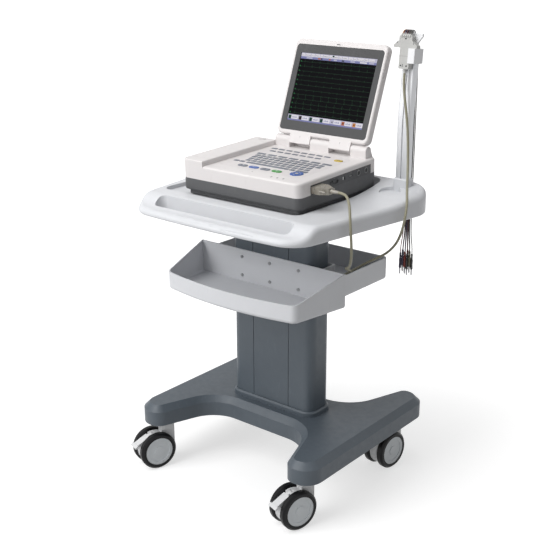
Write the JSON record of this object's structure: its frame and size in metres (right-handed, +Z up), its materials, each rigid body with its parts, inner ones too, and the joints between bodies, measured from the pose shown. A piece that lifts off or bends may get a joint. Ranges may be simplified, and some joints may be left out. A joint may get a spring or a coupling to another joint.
{
  "type": "electrocardiograph on a trolley",
  "caption": "Mobile electrocardiograph: keyboard case with tilting display and chart recorder on a wheeled trolley with worktop, basket, bin, cable pole and patient leads.",
  "frame": {"origin": "on the floor under the middle of the trolley and machine, without the patient cable and leads", "axes": "+X to the right seen from the handle side, +Y to the back, +Z up"},
  "size_m": [0.6704, 0.587, 1.1923],
  "materials": {
    "base_paint": "satin moulded slate grey",
    "plate_steel": "black powder coat",
    "column_paint": "satin slate grey powder coat",
    "steel": "zinc plated",
    "tray_plastic": "fine satin moulding",
    "pole_metal": "matte anodised",
    "holder_plastic": "satin",
    "box_plastic": "satin",
    "case_dark": "fine texture",
    "case_light": "fine texture",
    "rubber_dark": "matte",
    "port_plastic": "fine texture",
    "board_green": "solder mask",
    "battery_wrap": "shrink wrap",
    "overlay": "fine texture",
    "key_grey": "fine texture",
    "key_blue": "satin",
    "key_green": "satin",
    "key_yellow": "satin",
    "bezel": "fine texture",
    "display": "coated display",
    "paper": "chart paper",
    "print_head": "machined",
    "hood_clear": "translucent grey",
    "cable_jacket": "satin jacket",
    "lead_jacket": "satin jacket",
    "lead_plug": "satin",
    "pin_metal": "polished",
    "caster_plastic": "satin",
    "hub_plastic": "satin",
    "tyre": "matte",
    "latch_plastic": "satin"
  },
  "bodies": {
    "root": {"base_moulding": "base_paint", "base_plate": "plate_steel", "caster_stems": "steel", "column": "column_paint", "column_front_panel": "column_paint", "worktop": "tray_plastic", "front_basket": "tray_plastic", "rear_bin": "tray_plastic", "tray_screws": "steel", "pole_socket": "tray_plastic", "pole": "pole_metal", "cable_holder": "holder_plastic", "junction_box": "box_plastic", "ecg_bottom_case": "case_dark", "ecg_top_case": "case_light", "ecg_feet": "rubber_dark", "connector_panel": "port_plastic", "mains_inlet": "port_plastic", "circuit_boards": "board_green", "battery_pack": "battery_wrap", "keyboard_panel": "overlay", "lid_hinge_pin": "steel", "print_head": "print_head", "trunk_plug": "hood_clear", "trunk_cable_lower": "cable_jacket", "trunk_cable_upper": "cable_jacket", "trunk_coil": "cable_jacket", "lead_wires": "lead_jacket", "lead_plugs": "lead_plug", "lead_pins": "pin_metal"},
    "front_left_caster_swivel": {"front_left_caster_housing": "caster_plastic"},
    "front_left_caster_wheels": {"front_left_caster_hubs": "hub_plastic", "front_left_caster_tyres": "tyre"},
    "front_left_caster_brake": {"front_left_caster_brake": "caster_plastic"},
    "front_right_caster_swivel": {"front_right_caster_housing": "caster_plastic"},
    "front_right_caster_wheels": {"front_right_caster_hubs": "hub_plastic", "front_right_caster_tyres": "tyre"},
    "front_right_caster_brake": {"front_right_caster_brake": "caster_plastic"},
    "rear_left_caster_swivel": {"rear_left_caster_housing": "caster_plastic"},
    "rear_left_caster_wheels": {"rear_left_caster_hubs": "hub_plastic", "rear_left_caster_tyres": "tyre"},
    "rear_right_caster_swivel": {"rear_right_caster_housing": "caster_plastic"},
    "rear_right_caster_wheels": {"rear_right_caster_hubs": "hub_plastic", "rear_right_caster_tyres": "tyre"},
    "lid": {"lid_front_frame": "case_light", "lid_back_cover": "case_light", "display_bezel": "bezel", "display_panel": "display"},
    "recorder_door": {"printer_door": "case_light"},
    "platen": {"platen_roller": "rubber_dark"},
    "paper": {"paper_roll": "paper"},
    "latch": {"door_latch": "latch_plastic"},
    "function_keys": {"function_keys": "key_grey"},
    "letter_keys": {"letter_keys": "key_grey"},
    "copy_key": {"copy_key": "key_grey"},
    "mode_key": {"mode_key": "key_blue"},
    "menu_key": {"menu_key": "key_grey"},
    "print_key": {"print_key": "key_green"},
    "nav_pad": {"nav_pad": "key_blue"},
    "power_key": {"power_key": "key_yellow"}
  },
  "joints": [
    {"name": "front_left_swivel", "type": "hinge", "parent": "root", "child": "front_left_caster_swivel", "pos_m": [-0.245, -0.1925, 0.1], "axis": [0, 0, 1], "continuous": true},
    {"name": "front_left_roll", "type": "hinge", "parent": "front_left_caster_swivel", "child": "front_left_caster_wheels", "pos_m": [-0.258, -0.22821, 0.052], "axis": [0.9397, -0.342, 0], "continuous": true},
    {"name": "front_left_brake_press", "type": "hinge", "parent": "front_left_caster_swivel", "child": "front_left_caster_brake", "pos_m": [-0.26073, -0.23573, 0.091], "axis": [0.9397, -0.342, 0], "range_deg": [0, 9]},
    {"name": "front_right_swivel", "type": "hinge", "parent": "root", "child": "front_right_caster_swivel", "pos_m": [0.245, -0.1925, 0.1], "axis": [0, 0, 1], "continuous": true},
    {"name": "front_right_roll", "type": "hinge", "parent": "front_right_caster_swivel", "child": "front_right_caster_wheels", "pos_m": [0.23389, -0.22884, 0.052], "axis": [0.9563, -0.2924, 0], "continuous": true},
    {"name": "front_right_brake_press", "type": "hinge", "parent": "front_right_caster_swivel", "child": "front_right_caster_brake", "pos_m": [0.23155, -0.23649, 0.091], "axis": [0.9563, -0.2924, 0], "range_deg": [0, 9]},
    {"name": "rear_left_swivel", "type": "hinge", "parent": "root", "child": "rear_left_caster_swivel", "pos_m": [-0.245, 0.2125, 0.1], "axis": [0, 0, 1], "continuous": true},
    {"name": "rear_left_roll", "type": "hinge", "parent": "rear_left_caster_swivel", "child": "rear_left_caster_wheels", "pos_m": [-0.25094, 0.17497, 0.052], "axis": [0.9877, -0.1564, 0], "continuous": true},
    {"name": "rear_right_swivel", "type": "hinge", "parent": "root", "child": "rear_right_caster_swivel", "pos_m": [0.245, 0.2125, 0.1], "axis": [0, 0, 1], "continuous": true},
    {"name": "rear_right_roll", "type": "hinge", "parent": "rear_right_caster_swivel", "child": "rear_right_caster_wheels", "pos_m": [0.24037, 0.17478, 0.052], "axis": [0.9925, -0.1219, 0], "continuous": true},
    {"name": "lid_tilt", "type": "hinge", "parent": "root", "child": "lid", "pos_m": [0.017, 0.16525, 0.87803], "axis": [1, 0, 0], "range_deg": [-20, 112]},
    {"name": "recorder_door_open", "type": "hinge", "parent": "root", "child": "recorder_door", "pos_m": [-0.1408, -0.10609, 0.86015], "axis": [0, 0.9994, 0.0349], "range_deg": [0, 65]},
    {"name": "platen_turn", "type": "hinge", "parent": "recorder_door", "child": "platen", "pos_m": [-0.191, -0.10586, 0.85365], "axis": [0, 0.9994, 0.0349], "continuous": true},
    {"name": "paper_turn", "type": "hinge", "parent": "root", "child": "paper", "pos_m": [-0.167, -0.10466, 0.81917], "axis": [0, 0.9994, 0.0349], "continuous": true},
    {"name": "latch_press", "type": "slide", "parent": "root", "child": "latch", "axis": [0, 0.0349, -0.9994], "range_m": [0, 0.001], "stiffness_N_per_m": 800, "springref_m": -0.001},
    {"name": "function_keys_press", "type": "slide", "parent": "root", "child": "function_keys", "axis": [0, 0.0349, -0.9994], "range_m": [0, 0.001], "stiffness_N_per_m": 2000, "springref_m": -0.001},
    {"name": "letter_keys_press", "type": "slide", "parent": "root", "child": "letter_keys", "axis": [0, 0.0349, -0.9994], "range_m": [0, 0.001], "stiffness_N_per_m": 3000, "springref_m": -0.001},
    {"name": "copy_key_press", "type": "slide", "parent": "root", "child": "copy_key", "axis": [0, 0.0349, -0.9994], "range_m": [0, 0.001], "stiffness_N_per_m": 800, "springref_m": -0.001},
    {"name": "mode_key_press", "type": "slide", "parent": "root", "child": "mode_key", "axis": [0, 0.0349, -0.9994], "range_m": [0, 0.001], "stiffness_N_per_m": 800, "springref_m": -0.001},
    {"name": "menu_key_press", "type": "slide", "parent": "root", "child": "menu_key", "axis": [0, 0.0349, -0.9994], "range_m": [0, 0.001], "stiffness_N_per_m": 800, "springref_m": -0.001},
    {"name": "print_key_press", "type": "slide", "parent": "root", "child": "print_key", "axis": [0, 0.0349, -0.9994], "range_m": [0, 0.001], "stiffness_N_per_m": 800, "springref_m": -0.001},
    {"name": "nav_pad_press", "type": "slide", "parent": "root", "child": "nav_pad", "axis": [0, 0.0349, -0.9994], "range_m": [0, 0.001], "stiffness_N_per_m": 800, "springref_m": -0.001},
    {"name": "power_key_press", "type": "slide", "parent": "root", "child": "power_key", "axis": [0, 0.0349, -0.9994], "range_m": [0, 0.001], "stiffness_N_per_m": 800, "springref_m": -0.001}
  ]
}
